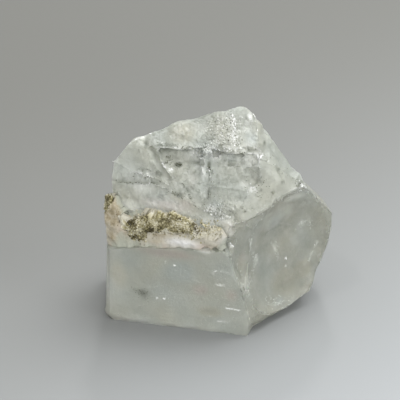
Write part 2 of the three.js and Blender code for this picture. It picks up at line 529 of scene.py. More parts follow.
# Everything below is in mm, in the stone's measures
crystalShape = {
    "depth": 8,  # of the remeshing, and how much of its cube the stone fills
    "fill": 0.58,
    "seed": 7,
    "sharp": 25,  # degrees, from which an edge is chipped, worn and given a painted edge highlight
    "crease": 30,  # degrees, from which the finished skin isn't smooth
    "needle": 0.27,  # what stands out further than this is drawn in
    "wornEdge": 0.45,  # how far wear and its painted edge highlight reach from a sharp edge
    # The step between the upper block and the lobe: where it begins, its height at an x and its rise
    "step": {"from": 17, "x": 17.7, "height": 16.6, "rise": 0.275},
    "ledge": (12, 14),  # heights between which the prism turns into the upper block
    "lobe": (20.6, 0.28),  # x of the lobe's left edge at the foot, and how it leans to the left
    "front": (4.3, 0.2337),  # y of the prism's front at the left, and how it comes forward
    # Soft ellipsoids where the upper block is badly broken, and where it sparkles
    "broken": [
        ((10, 7.6, 23), (5.5, 4, 4)),
        ((17.5, 7.4, 23), (5.5, 4, 4)),
        ((13.5, 6, 20), (6, 4, 4)),
    ],
    "sparkling": [
        ((16.4, 9.8, 26), (3.3, 5, 4)),
        ((14.0, 7.6, 24.4), (3.4, 2, 1.4)),
        ((27.2, 7.6, 19.3), (1.4, 2, 1.2)),
        ((16.2, 2.4, 18.2), (3, 2, 1.6)),
    ],
    "leftFacet": ((3.6, 8, 23), (4.5, 5, 3.4)),  # it is hardly cracked
    # How deep each kind of break goes, and how wide its dishes or flats are
    "depths": {
        "dishes": 0.1, "swell": 0.16, "crest": 0.15, "broken": 0.34, "brokenFine": 0.2,
        "plain": 0.14, "sparkling": 0.16, "back": 0.5, "backFine": 0.18,
    },
    "widths": {
        "dishes": 5, "broken": 1.9, "brokenFine": 0.85, "plain": 1.1, "sparkling": 0.5,
        "back": 3.2, "backFine": 1.2,
    },
    # A wedge breaks out a groove from one point to the next: how deep it goes, how far it is rolled to
    # one side, in degrees, and how wide the broken wall is
    "wedges": [
        ((6.7, 8.7, 24.7), (9.3, 5.6, 21.3), 0.4, 64, 2.2),
        ((14.5, 7.4, 24.2), (14.3, 4.3, 19.2), 0.35, 68, 3.0),
        ((2.0, 7.0, 20.3), (7.6, 5.5, 20.9), 0.25, -62, 1.2),
        ((4.6, 6.5, 21.6), (7.2, 5.8, 20.7), 0.3, 50, 0.9),
        ((19.6, 6.2, 22.9), (21.3, 5.6, 21.6), 0.25, 50, 1.2),
        ((23.8, 7.3, 22.6), (24.9, 6.3, 20.4), 0.15, 50, 0.8),
    ],
    # Where small chips are scattered: centre, reach, how many, their size and how deep they go
    "chips": [
        ((10.4, 7.6, 23.2), (3.0, 1.6, 2.2), 18, (0.6, 1.8), 0.2),
        ((18.2, 7.2, 23.0), (3.2, 1.6, 2.2), 18, (0.6, 1.8), 0.2),
        ((13.6, 6.6, 21.8), (1.4, 2.2, 3.2), 12, (0.4, 1.2), 0.2),
        ((6.0, 6.2, 20.9), (3.2, 1.2, 1.2), 12, (0.4, 1.0), 0.2),
        ((9.0, 4.6, 19.4), (5.5, 1.5, 1.6), 16, (0.4, 1.2), 0.16),
        ((16.6, 9.9, 26.0), (2.4, 3.2, 2.4), 40, (0.25, 0.6), 0.12),
        ((13.0, 8.0, 24.8), (7.6, 0.6, 0.5), 26, (0.3, 0.8), 0.2),
        ((20.6, 7.2, 23.9), (1.6, 1.2, 1.4), 16, (0.3, 0.7), 0.2),
        ((27.2, 7.6, 19.3), (0.9, 0.9, 0.9), 12, (0.25, 0.6), 0.2),
        ((22.6, 4.9, 18.3), (4.6, 3.0, 1.3), 40, (0.3, 0.9), 0.2),
        ((16.8, 2.2, 17.6), (2.6, 1.6, 1.4), 18, (0.3, 0.8), 0.18),
        ((19.6, 0.5, 6.6), (0.9, 0.7, 3.6), 14, (0.3, 0.7), 0.16),
        ((14.0, 19.0, 16.0), (12.0, 3.0, 9.0), 22, (2.0, 5.0), 0.4),
        ((16.0, 13.8, 27.3), (7.0, 1.6, 1.6), 18, (0.4, 1.2), 0.15),
    ],
    "edgeChips": {"count": 110, "size": (0.2, 0.7), "depth": 0.13},
    # Edges that are worn round: how far and how deep, and the points that they pass
    "dulled": [
        (2.2, 0.5, [(2.6, 7.7, 22.4), (10, 4.4, 19.6), (16.4, 1.4, 17.0)]),
        (1.5, 0.3, [(18.4, 1.6, 17.6), (19.8, 3.8, 20.7), (21.2, 5.2, 22.2), (21.6, 6.8, 24.2)]),
        (1.4, 0.25, [(22.4, 6.8, 23.8), (26.6, 7.2, 20.2)]),
        (1.6, 0.3, [(21.4, 7.6, 25.0), (21.0, 12.2, 27.6)]),
        (1.4, 0.55, [(22.6, 12.3, 25.4), (23.6, 11.6, 24.3), (25.0, 10.6, 22.2), (26.0, 10.0, 21.3)]),
        (0.9, 0.2, [(21.0, 13.0, 28.0), (22.6, 11.6, 26.0)]),
        (1.2, 0.25, [(20.8, 2.7, 15.1), (20.2, 2.2, 12.0), (20.2, 1.8, 9.0)]),
    ],
    # Places that stand out more than they were cut, or less: where, how far they reach and how much
    "filled": [
        ((10.4, 8.9, 24.0), (3.4, 1.8, 1.6), 0.5),
        ((14.2, 7.8, 23.9), (2.2, 1.8, 1.2), 0.25),
        ((17.8, 8.2, 23.8), (3.6, 1.8, 1.6), 0.7),
        ((4.4, 9.8, 24.9), (1.8, 3.0, 1.5), 0.2),
        ((3.6, 6.8, 16.6), (2.4, 2.0, 1.5), 0.5),
        ((10.2, 12.6, 26.4), (3.0, 3.0, 2.0), 0.4),
        ((15.0, 14.2, 27.3), (3.0, 3.0, 2.0), 0.2),
        ((18.8, 13.8, 28.1), (3.0, 3.0, 2.0), 0.3),
        ((0.5, 5.3, 0.4), (1.5, 1.6, 1.2), 0.3),
        ((29.4, 10.4, 5.2), (1.4, 3.0, 2.0), -0.45),
    ],
}


def addTool(tools, tool):
    made = newPiece("chip", tool, None)
    bpy.context.scene.collection.objects.unlink(made)
    tools.objects.link(made)


def breakOut(tools, dice, point, normal, size, deep):
    # one closed tool that goes about that deep into the skin at a point
    turn = Euler([dice.uniform(0, math.tau) for axis in range(3)]).to_matrix().to_4x4()
    stretch = Matrix.Diagonal([dice.uniform(0.6, 1.3) for axis in range(3)] + [1])
    at = Matrix.Translation(point + normal * (size * 0.72 - deep))
    tool = bmesh.new()
    bmesh.ops.create_cube(tool, size=size, matrix=at @ turn @ stretch)
    addTool(tools, tool)


def breakWedge(tools, tree, start, end, depth, roll, width):
    first, firstNormal = tree.find_nearest(place(start))[:2]
    last, lastNormal = tree.find_nearest(place(end))[:2]
    along = (last - first).normalized()
    across = (firstNormal + lastNormal).cross(along).normalized()
    normal = along.cross(across)
    turn = Matrix((along, across, normal)).transposed().to_4x4()
    turn = turn @ Matrix.Rotation(math.radians(roll), 4, "X")
    size = Matrix.Diagonal(((last - first).length, width * mm, width * mm, 1))
    # the box's lower edge lies along the groove's bottom
    edge = (turn @ size @ Vector((0, -0.5 if roll > 0 else 0.5, -0.5, 1))).to_3d()
    at = Matrix.Translation((first + last) / 2 - normal * depth * mm - edge)
    tool = bmesh.new()
    bmesh.ops.create_cube(tool, size=1, matrix=at @ turn @ size)
    addTool(tools, tool)


def sharpEdges(shape, angle):
    return [e for e in shape.edges if e.is_manifold and e.calc_face_angle_signed() > math.radians(angle)]


def breakAll(tools, skin, look):
    dice = random.Random(look["seed"])
    tree = BVHTree.FromBMesh(skin)
    for wedge in look["wedges"]:
        breakWedge(tools, tree, *wedge)
    for centre, reach, count, sizes, depth in look["chips"]:
        for number in range(count):
            target = [c + r * dice.uniform(-1, 1) for c, r in zip(centre, reach)]
            point, normal = tree.find_nearest(place(target))[:2]
            deep = dice.uniform(0.4, 1) * depth * mm
            breakOut(tools, dice, point, normal, dice.uniform(*sizes) * mm, deep)
    small = look["edgeChips"]
    sharp = sharpEdges(skin, look["sharp"])
    lengths = [edge.calc_length() for edge in sharp]
    for edge in dice.choices(sharp, lengths, k=small["count"]):
        point = edge.verts[0].co.lerp(edge.verts[1].co, dice.random())
        normal = (edge.link_faces[0].normal + edge.link_faces[1].normal).normalized()
        deep = dice.uniform(0.3, 1) * small["depth"] * mm
        breakOut(tools, dice, point, normal, dice.uniform(*small["size"]) * mm, deep)


def chipped(piece, skin, look):
    tools = bpy.data.collections.new("chips")
    breakAll(tools, skin, look)
    modifier = piece.modifiers.new("chips", "BOOLEAN")
    modifier.operation = "DIFFERENCE"
    modifier.solver = "MANIFOLD"
    modifier.operand_type = "COLLECTION"
    modifier.collection = tools
    applied(piece)
    bpy.data.batch_remove([*tools.objects, tools])


def edgePoints(skin, angle, pitch):
    # points along the stone's sharp edges, to find how near a place is to one
    found = []
    for edge in sharpEdges(skin, angle):
        first, last = [measure(vertex.co) for vertex in edge.verts]
        count = max(1, round((last - first).length / pitch))
        found += [first.lerp(last, number / count) for number in range(count + 1)]
    tree = KDTree(len(found))
    for index, point in enumerate(found):
        tree.insert(point, index)
    tree.balance()
    return tree


def regions(q, normal):
    # how far a point belongs to the upper block, the lobe, the prism's front and the stone's back
    step = crystalShape["step"]
    if q.x > step["from"]:
        upper = ease(-0.25, 0.25, q.z - (step["height"] + step["rise"] * (q.x - step["x"])))
    else:
        upper = ease(*crystalShape["ledge"], q.z)
    lobeAt, leftward = crystalShape["lobe"]
    lobe = (1 - upper) * ease(-0.3, 0.5, q.x - (lobeAt - leftward * q.z))
    frontAt, forward = crystalShape["front"]
    front = (1 - upper) * (1 - lobe) * ease(2.5, 1.5, q.y - frontAt + forward * q.x)
    lowerBack = (1 - upper) * (1 - front) * (1 - ease(0.6, 0.2, normal.y))
    return upper, lobe, front, lowerBack + upper * ease(0.0, 0.6, normal.y)


# Soft marks on the stone: where, how far they reach and how much of the paint named first they add; the
# dark and light marks are partly the stone's own tones and partly painted shade and painted light
crystalMarks = {
    # real dark spots, and painted shade under the rim and beneath the seam
    "dark": [
        ((7.4, 8.0, 23.9), (0.9, 3, 1.6), 0.25),
        ((8.4, 6.6, 22.3), (1.0, 3, 1.3), 0.2),
        ((11.3, 8.3, 23.9), (1.0, 3, 0.7), 0.2),
        ((10.4, 7.3, 22.8), (0.7, 2, 0.36), 1.5),
        ((14.6, 6.3, 23.0), (0.42, 2, 0.5), 1.4),
        ((14.5, 3.8, 20.1), (0.5, 2, 0.6), 0.7),
        ((18.6, 5.8, 22.0), (3.4, 3, 1.3), 0.15),
        ((17.0, 5.2, 21.8), (3.2, 3, 1.2), 0.18),
        ((17.6, 4.6, 21.0), (3.2, 3, 1.2), 0.12),
        ((27.4, 8.6, 19.8), (1.4, 3, 1.4), 0.2),
        ((7.0, 10.6, 25.8), (1.6, 3, 1.0), 0.3),
        ((14.2, 12.6, 27.0), (2.4, 3, 1.5), 0.22),
        ((26.2, 9.0, 20.4), (2.4, 3, 1.5), 0.24),
        ((23.8, 9.8, 23.4), (2.2, 3, 1.7), 0.22),
        ((27.2, 8.8, 4.0), (3.0, 4, 2.4), 0.16),
        ((22.0, 4.4, 12.0), (2.0, 4, 4.0), 0.1),
        ((4.6, 9.6, 24.6), (2.4, 3, 1.0), 0.32),
        ((6.0, 9.5, 25.2), (0.6, 2, 0.5), 0.4),
        ((6.0, 9.3, 24.9), (0.5, 2, 0.5), 0.5),
        ((2.6, 7.6, 22.4), (0.9, 3, 0.7), 0.06),
        ((10.2, 4.2, 19.7), (1.3, 3, 0.65), 0.9),
        ((8.0, 5.6, 21.8), (1.0, 3, 0.6), 0.15),
        ((22.2, 9.4, 25.1), (0.3, 2, 0.3), 0.8),
        ((24.1, 6.9, 22.1), (0.35, 2, 0.4), 0.6),
        ((24.5, 6.4, 20.5), (0.35, 2, 0.35), 0.7),
        ((21.6, 5.1, 21.2), (0.3, 2, 0.35), 0.5),
        ((21.6, 4.6, 20.2), (0.3, 2, 0.3), 0.5),
        ((19.7, 12.3, 27.5), (0.3, 2, 0.3), 0.7),
        ((11.0, 9.8, 25.8), (0.3, 2, 0.6), 0.4),
        ((12.9, 9.2, 25.5), (0.3, 2, 0.3), 0.5),
        ((14.0, 8.8, 25.3), (0.3, 2, 0.25), 0.5),
        ((27.1, 7.5, 19.7), (0.5, 2, 0.5), 0.6),
        ((15.2, 2.1, 18.0), (0.8, 2, 0.5), 0.4),
        ((5.5, 3.3, 4.6), (0.9, 3, 1.3), 0.55),
        ((5.1, 3.4, 5.1), (1.7, 3, 0.8), 0.45),
        ((6.4, 3.1, 5.0), (2.8, 3, 1.2), 0.1),
        ((14.4, 1.2, 3.3), (2.0, 3, 0.9), 0.35),
        # painted shade beneath the seam
        ((7.6, 3.0, 11.6), (4.4, 3, 0.7), 0.08),
        ((13.0, 1.8, 12.2), (5.0, 3, 0.7), 0.1),
        ((17.1, 1.5, 13.5), (0.7, 2, 1.0), 0.8),
        ((18.2, 1.6, 11.8), (0.9, 3, 2.2), 0.25),
        ((22.3, 5.9, 12.9), (0.6, 3, 0.5), 0.35),
        ((24.0, 7.3, 13.0), (1.8, 3, 0.35), 0.2),
        ((26.6, 8.2, 6.6), (3.2, 5, 3.0), 0.2),
        ((18.2, 9.6, 26.1), (1.1, 3, 0.9), 0.15),
        ((10.7, 8.5, 25.1), (1.8, 2, 0.6), 0.2),
        ((7.3, 7.2, 22.8), (1.0, 2, 0.8), 0.2),
        ((15.5, 4.6, 21.0), (1.3, 2, 1.0), 0.2),
        ((18.6, 1.1, 9.4), (1.2, 3, 2.6), 0.14),
        ((24.7, 6.4, 4.4), (2.4, 4, 1.6), 0.26),
        ((16.9, 1.0, 12.0), (1.0, 3, 1.0), 0.16),
    ],
    # whitish clouds and streaks, painted glints, and painted light that lifts the shade under the rim, in
    # the recess above the seam, along the lobe's top edge and along the foot
    "light": [
        ((3.6, 7.9, 23.0), (2.6, 3, 2.2), 0.15),
        ((20.6, 6.9, 23.7), (1.8, 2, 1.3), 0.7),
        ((14.4, 7.6, 24.2), (1.8, 2, 0.9), 0.25),
        ((17.6, 8.0, 24.6), (2.4, 2, 0.9), 0.3),
        ((4.6, 6.6, 21.2), (3.0, 2, 1.4), 0.3),
        ((26.0, 7.8, 19.0), (2.0, 3, 1.0), 0.18),
        ((23.6, 6.6, 14.8), (4.4, 4, 3.2), 0.2),
        ((26.4, 8.4, 17.6), (2.6, 3, 1.2), 0.35),
        ((15.6, 7.4, 23.9), (1.6, 2, 1.0), 0.45),
        ((13.2, 6.6, 23.2), (1.4, 2, 1.2), 0.35),
        ((18.8, 6.6, 23.0), (1.6, 2, 1.0), 0.25),
        ((19.7, 8.2, 25.2), (1.2, 2, 0.9), 0.25),
        ((12.6, 1.9, 11.4), (2.4, 3, 0.8), 0.15),
        ((12.6, 8.0, 24.0), (1.8, 2, 1.0), 0.5),
        ((8.0, 5.0, 18.8), (6.0, 3, 1.8), 0.12),
        ((1.6, 4.6, 5.4), (2.2, 3, 7.5), 0.22),
        ((17.6, 11.6, 27.0), (1.0, 3, 1.0), 0.25),
        ((17.9, 9.4, 25.9), (0.8, 3, 1.6), 0.35),
        ((20.1, 12.4, 27.7), (0.5, 2, 0.5), 0.5),
        ((14.7, 8.0, 24.9), (0.9, 1, 0.4), 0.5),
        ((20.9, 7.0, 24.4), (0.8, 2, 0.6), 0.6),
        ((20.3, 4.2, 20.7), (0.8, 2, 0.6), 0.6),
        ((19.2, 4.6, 21.2), (0.9, 2, 0.6), 0.3),
        ((27.4, 7.4, 19.3), (0.6, 1, 0.4), 0.7),
        ((6.2, 5.7, 20.9), (0.4, 1, 0.3), 0.7),
        ((14.9, 2.3, 18.6), (1.3, 2, 0.4), 0.3),
        ((16.6, 1.6, 17.0), (2.4, 2, 1.6), 0.4),
        ((8.0, 4.8, 17.6), (6.0, 3, 1.0), 0.2),
        # painted light in the recess above the seam
        ((4.0, 6.6, 16.8), (2.8, 3, 1.5), 0.3),
        ((5.2, 6.2, 19.9), (3.6, 2, 1.0), 0.3),
        ((14.6, 2.6, 16.6), (2.4, 2, 0.9), 0.4),
        ((0.5, 5.2, 5.0), (0.7, 2, 5.5), 0.15),
        ((6.8, 5.1, 17.9), (1.6, 2, 0.8), 0.25),
        ((4.8, 5.9, 19.0), (1.0, 2, 0.6), 0.2),
        ((12.3, 5.6, 21.5), (0.7, 2, 1.0), 0.2),
        ((13.7, 6.0, 22.0), (0.6, 3, 2.2), 0.15),
        ((10.0, 5.0, 20.9), (0.6, 2, 0.6), 0.2),
        ((17.0, 7.0, 23.3), (0.5, 2, 1.2), 0.15),
        ((9.8, 2.3, 9.9), (0.45, 1, 0.22), 0.6),
        ((8.7, 2.6, 10.3), (0.25, 1, 0.2), 0.3),
        ((7.3, 2.9, 4.4), (0.3, 1, 0.22), 0.4),
        ((8.5, 2.6, 4.5), (0.3, 1, 0.22), 0.4),
        ((14.7, 1.2, 2.5), (0.4, 1, 0.25), 0.4),
        ((20.4, 2.8, 12.9), (0.4, 2, 0.8), 0.35),
        ((21.1, 4.1, 9.8), (0.5, 2, 1.1), 0.35),
        ((20.2, 1.0, 5.6), (0.8, 2, 1.0), 0.12),
        ((23.8, 7.4, 9.8), (0.35, 2, 1.3), 0.25),
        ((25.4, 8.4, 7.6), (0.28, 1, 0.3), 0.8),
        ((25.4, 8.1, 6.5), (0.3, 1, 0.3), 0.35),
        ((27.6, 9.8, 12.4), (0.9, 2, 0.8), 0.25),
        ((28.7, 10.2, 12.6), (0.5, 2, 1.0), 0.2),
        ((29.9, 10.6, 9.0), (0.35, 1, 0.4), 0.4),
        ((24.5, 5.3, 2.3), (3.4, 4, 0.7), 0.1),
        ((17.2, 1.3, 15.5), (1.1, 2, 1.6), 0.7),
        # painted light along the foot
        ((3.5, 3.6, 0.5), (4.8, 3, 1.6), 0.22),
        ((12.0, 1.8, 0.4), (8.0, 3, 1.3), 0.18),
        ((14.1, 2.1, 12.6), (1.6, 2, 0.7), 0.75),
        ((2.6, 3.8, 10.9), (2.8, 3, 1.6), 0.15),
        # painted light under the rim and along the lobe's top edge
        ((15.5, 8.4, 23.6), (0.8, 1.5, 0.8), 0.5),
        ((25.0, 7.6, 17.6), (2.2, 3, 0.8), 0.2),
        ((22.4, 5.1, 16.2), (2.2, 3, 0.8), 0.15),
    ],
    "warm": [
        ((10.6, 10.4, 26.0), (3.0, 4, 1.5), 0.6),
        ((16.5, 10.5, 26.4), (4.2, 5, 2.6), 0.3),
        ((2.0, 4.2, 7.3), (1.8, 3, 3.4), 0.9),
        ((9.0, 2.6, 12.0), (8.0, 3, 1.0), 0.4),
        ((10.3, 4.1, 19.3), (2.6, 3, 1.0), 0.5),
        ((28.0, 9.0, 5.4), (1.8, 4, 1.8), 1.2),
        ((25.0, 7.4, 4.6), (3.4, 4, 2.6), 0.8),
        ((14.7, 1.2, 3.2), (2.4, 3, 1.2), 0.9),
        ((18.9, 1.7, 10.4), (1.0, 3, 1.6), 0.3),
        ((10.2, 2.3, 9.0), (3.6, 3, 2.6), -0.9),
        ((20.3, 9.1, 25.7), (1.4, 3, 1.2), -0.5),
        ((17.4, 7.4, 23.6), (1.8, 2, 1.2), -0.35),
        ((15.4, 3.0, 19.0), (1.6, 2, 1.2), -0.3),
        ((24.5, 5.3, 2.5), (1.2, 3, 0.8), -0.4),
        ((23.6, 6.6, 14.6), (1.8, 4, 1.8), -0.4),
        ((17.2, 1.3, 15.7), (1.1, 2, 1.5), 0.6),
        ((14.1, 2.1, 12.6), (1.6, 2, 0.7), 0.6),
    ],
    "rosy": [
        ((13.3, 1.5, 6.5), (1.6, 3, 1.2), 1.0),
        ((17.6, 0.7, 6.2), (1.2, 3, 1.4), 0.9),
        ((19.0, 2.0, 11.2), (0.9, 3, 1.4), 0.35),
        ((11.4, 3.6, 18.8), (1.8, 3, 0.9), 0.4),
        ((25.4, 8.3, 6.9), (0.7, 3, 1.2), 0.35),
        ((12.2, 5.6, 21.4), (1.2, 3, 1.6), 0.25),
        ((9.0, 2.8, 11.9), (8.0, 3, 0.9), 0.6),
        ((9.0, 4.4, 17.9), (7.0, 3, 1.3), 0.7),
        ((17.0, 1.1, 16.6), (1.4, 2, 1.3), 0.4),
        ((9.6, 2.7, 11.4), (6.0, 3, 0.9), 0.8),
    ],
}

# Thin lines on the stone: their width, how much paint they add and the points that they pass; dark lines
# are cracks and painted shadow, light lines whitish streaks and painted highlights
crystalLines = {
    "dark": [
        (0.22, 0.6, [(2.2, 7.2, 20.3), (4.5, 6.4, 20.8), (5.2, 6.2, 21.4), (6.6, 5.6, 21.0)]),
        (0.2, 0.5, [(4.4, 6.5, 21.4), (5.6, 6.1, 21.5)]),
        # painted shadow under the rim
        (0.25, 0.55, [(8.7, 8.9, 25.2), (10.3, 8.2, 24.9), (11.9, 8.0, 24.7)]),
        (0.25, 0.5, [(13.3, 8.3, 24.9), (15.3, 8.1, 24.9), (17.1, 7.7, 24.7)]),
        (0.25, 0.5, [(18.8, 7.2, 24.3), (20.3, 7.5, 23.7)]),
        (0.2, 0.5, [(20.0, 6.6, 22.8), (21.1, 5.9, 22.6), (21.2, 5.7, 21.9), (20.5, 5.8, 21.7)]),
        (0.2, 0.45, [(11.3, 4.7, 20.7), (12.0, 3.7, 19.6), (12.8, 2.8, 18.4)]),
        (0.22, 0.2, [(14.5, 6.0, 22.6), (14.5, 4.6, 21.0), (14.4, 3.7, 19.9), (15.0, 2.8, 18.9)]),
        (0.2, 0.4, [(7.2, 8.6, 24.6), (8.8, 6.8, 22.8)]),
        (0.2, 0.35, [(17.9, 7.6, 24.0), (18.4, 6.8, 22.6)]),
        (0.25, 0.25, [(22.6, 6.0, 13.0), (24.6, 7.6, 12.8)]),
        (0.2, 0.35, [(17.1, 0.8, 12.3), (18.4, 1.4, 9.7), (19.2, 0.9, 8.0)]),
        # painted contact shadow along the foot
        (0.16, 0.9, [(0.8, 5.1, 0.0), (10.0, 2.6, 0.0), (19.4, 0.2, 0.0)]),
    ],
    "light": [
        # painted highlight along the crest's left edge, and below it painted glints on slivers
        (0.2, 0.5, [(3.6, 9.6, 24.8), (4.9, 10.2, 25.3), (6.5, 10.7, 25.7)]),
        (0.28, 1.0, [(8.0, 7.1, 23.2), (8.6, 6.9, 22.7), (9.5, 6.6, 22.2)]),
        (0.22, 0.9, [(4.6, 6.7, 22.0), (5.5, 6.2, 21.6)]),
        (0.24, 1.0, [(6.1, 6.3, 21.9), (6.8, 5.9, 21.3)]),
        (0.2, 0.6, [(6.8, 5.8, 21.2), (7.4, 5.6, 20.9)]),
        (0.2, 0.35, [(9.9, 8.2, 24.6), (11.4, 8.0, 24.5)]),
        (0.22, 0.5, [(7.2, 9.5, 25.4), (8.3, 9.1, 25.3)]),
        (0.2, 0.45, [(18.1, 7.6, 24.7), (18.1, 6.9, 22.8)]),
        (0.22, 0.4, [(6.4, 9.4, 25.0), (6.0, 8.4, 24.0)]),
        (0.2, 0.4, [(10.6, 5.0, 20.8), (11.2, 4.2, 20.0), (11.6, 3.8, 19.4)]),
        (0.24, 0.35, [(1.6, 7.4, 19.8), (2.6, 7.0, 18.8), (4.2, 6.4, 18.2)]),
        (0.2, 0.6, [(15.5, 1.0, 7.6), (16.6, 0.7, 7.7)]),
        (0.2, 0.8, [(16.6, 0.7, 4.2), (17.6, 0.5, 4.0), (18.8, 0.2, 3.9)]),
        (0.2, 0.5, [(16.1, 0.9, 1.9), (17.7, 0.5, 2.1)]),
        (0.22, 0.3, [
            (15.0, 1.1, 9.0), (15.2, 1.0, 9.6), (16.0, 0.8, 10.0), (16.9, 0.6, 9.8), (17.6, 0.5, 9.3)]),
        (0.22, 0.3, [(18.7, 0.7, 8.1), (19.8, 0.7, 7.0), (20.1, 0.7, 6.2)]),
        (0.2, 1.0, [(17.1, 1.5, 13.8), (17.6, 1.5, 13.1)]),
        (0.24, 0.3, [
            (20.0, 2.6, 14.1), (20.4, 2.9, 12.0), (21.0, 4.1, 10.4), (21.3, 4.4, 9.2), (20.1, 2.1, 8.5)]),
        (0.2, 0.3, [(23.2, 7.0, 10.9), (23.9, 7.4, 9.4), (24.3, 7.7, 8.1)]),
        (0.2, 0.35, [(29.9, 10.6, 8.8), (29.2, 10.3, 7.6), (28.9, 9.9, 6.4)]),
        (0.25, 0.2, [(22.3, 2.8, 3.0), (24.2, 4.9, 2.3), (26.9, 6.9, 2.1)]),
        (0.25, 0.35, [(0.6, 5.2, 9.9), (0.4, 5.1, 2.7)]),
    ],
}


def mostOf(q, spots):
    # 1 well inside one of the soft ellipsoids, 0 outside them all
    return min(1, 2 * max(softSpot(q, centre, radii) for centre, radii in spots))


def sculpted(q, normal, upper, front, back):
    # how deep the skin lies at a place, how sparkling it is there and how much it faces to the right
    depths = crystalShape["depths"]
    widths = crystalShape["widths"]
    broken = mostOf(q, crystalShape["broken"]) * upper
    sparkle = mostOf(q, crystalShape["sparkling"]) * upper
    rightFace = upper * ease(0.2, 0.5, normal.x) * (1 - back)
    slanted = Vector((q.x + 0.45 * q.z, q.y, 0.75 * q.z - 0.3 * q.x))  # the flats lie slantwise
    depth = depths["dishes"] * (1 - scallops(q, widths["dishes"])) * (1 - front)
    depth += depths["swell"] * max(0, noise.noise(q * 0.35)) * (1 - 0.7 * front)
    crest = ease(24, 25.5, q.z) * upper
    depth += depths["crest"] * crest * max(0, noise.noise(Vector((q.x * 0.55, 2.3, 0))))
    if broken > 0:
        coarse = depths["broken"] * facets(slanted, widths["broken"])
        fine = depths["brokenFine"] * facets(slanted + Vector((9, 3, 5)), widths["brokenFine"])
        depth += broken * (coarse + fine)
    if upper > broken:
        plain = depths["plain"] * (upper - broken) * (1 - 0.5 * rightFace)
        depth += plain * facets(slanted, widths["plain"])
    if sparkle > 0:
        depth += depths["sparkling"] * sparkle * facets(q, widths["sparkling"])
    if back > 0:
        coarse = depths["back"] * facets(q, widths["back"])
        depth += back * (coarse + depths["backFine"] * facets(q, widths["backFine"]))
    return depth, sparkle, rightFace


def skinPaint(q, normal, upper, lobe, back, sparkle, rightFace, toEdge):
    # the paint that a place has before its marks and lines
    leftFacet = softSpot(q, *crystalShape["leftFacet"])
    return {
        "frost": 0.44 + 0.23 * upper - 0.06 * lobe + 0.15 * back,
        "sparkle": sparkle,
        # painted shade: the upper block is painted darker where it faces up, and a little darker on its
        # right face
        "dark": 0.02 + 0.04 * lobe + 0.18 * upper * ease(0.0, 0.8, normal.z) + 0.06 * rightFace,
        "light": 0,
        "warm": 0.4 + 0.5 * noise.noise(q * 0.25) + 0.2 * lobe,
        "rosy": 0,
        "rough": 0.12 + 0.12 * upper + 0.3 * back + 0.2 * (1 - upper - lobe),
        "cracked": 0.06 + upper * (0.6 + 0.3 * sparkle - 0.5 * rightFace - 0.5 * leftFacet) + 0.02 * lobe,
        # worn edges: rougher, and painted a little lighter as a painted edge highlight
        "worn": ease(crystalShape["wornEdge"], 0.1, toEdge) * ease(-0.1, 0.3, noise.noise(q * 1.1)),
    }


def makeCrystal():
    started = time.time()
    skin = cadCopy("crystal")
    skin.normal_update()
    edges = edgePoints(skin, crystalShape["sharp"], pitch=0.3)
    piece = newPiece("crystal_skin", skin.copy(), topazMaterial())
    chipped(piece, skin, crystalShape)
    skin.free()
    print("crystal chipped:", round(time.time() - started, 1), "s")
    mesh = remeshed(piece, crystalShape)
    print("crystal skin:", len(mesh.polygons), "faces", round(time.time() - started, 1), "s")
    tree = nearby(mesh)
    dents = [0] * len(mesh.vertices)
    for width, depth, points in crystalShape["dulled"]:
        stroke(tree, dents, points, width, depth)
    for centre, reach, depth in crystalShape["filled"]:
        dab(tree, dents, centre, reach, -depth)
    paint = {name: [] for name in topazPaints}
    normals = [vertex.normal.copy() for vertex in mesh.vertices]
    for vertex, normal, dent in zip(mesh.vertices, normals, dents):
        q = measure(vertex.co)
        upper, lobe, front, back = regions(q, normal)
        depth, sparkle, rightFace = sculpted(q, normal, upper, front, back)
        # the foot keeps its edge
        vertex.co = vertex.co - normal * (depth * ease(-0.2, 0.8, q.z) + dent) * mm
        vertex.co.z = max(vertex.co.z, 0)
        values = skinPaint(q, normal, upper, lobe, back, sparkle, rightFace, edges.find(q)[2])
        for name, value in values.items():
            paint[name].append(value)
    drawnIn(mesh, crystalShape["needle"])
    dabAll(tree, paint, crystalMarks)
    for name, lines in crystalLines.items():
        for width, amount, points in lines:
            stroke(tree, paint[name], points, width, amount, broken=0.9)
    paintedOn(mesh, paint)
    mesh.shade_smooth()
    mesh.set_sharp_from_angle(angle=math.radians(crystalShape["crease"]))
    print("crystal worn:", round(time.time() - started, 1), "s")
    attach(piece, "root")
    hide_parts("crystal")


ledgeLean = (0.454, 0.891)  # how far back and how far up it goes per mm up the slope of the ledge


def inside(q, band):
    # how far inside a band a place lies, with a ragged border; a band's rows are x and how low and how
    # high it lies there, measured up the slope
    height = ledgeLean[1] * q.z + ledgeLean[0] * q.y
    for (x, low, high), (nextX, nextLow, nextHigh) in zip(band, band[1:]):
        if x <= q.x <= nextX:
            share = (q.x - x) / (nextX - x)
            low += (nextLow - low) * share
            high += (nextHigh - high) * share
            return min(height - low, high - height) + 0.35 * noise.noise(q * 1.7)
    return -9


def nearest(grounds, point):
    # place, normal, face and distance of what lies nearest to a point
    return min([ground.find_nearest(point) for ground in grounds], key=lambda found: found[3])


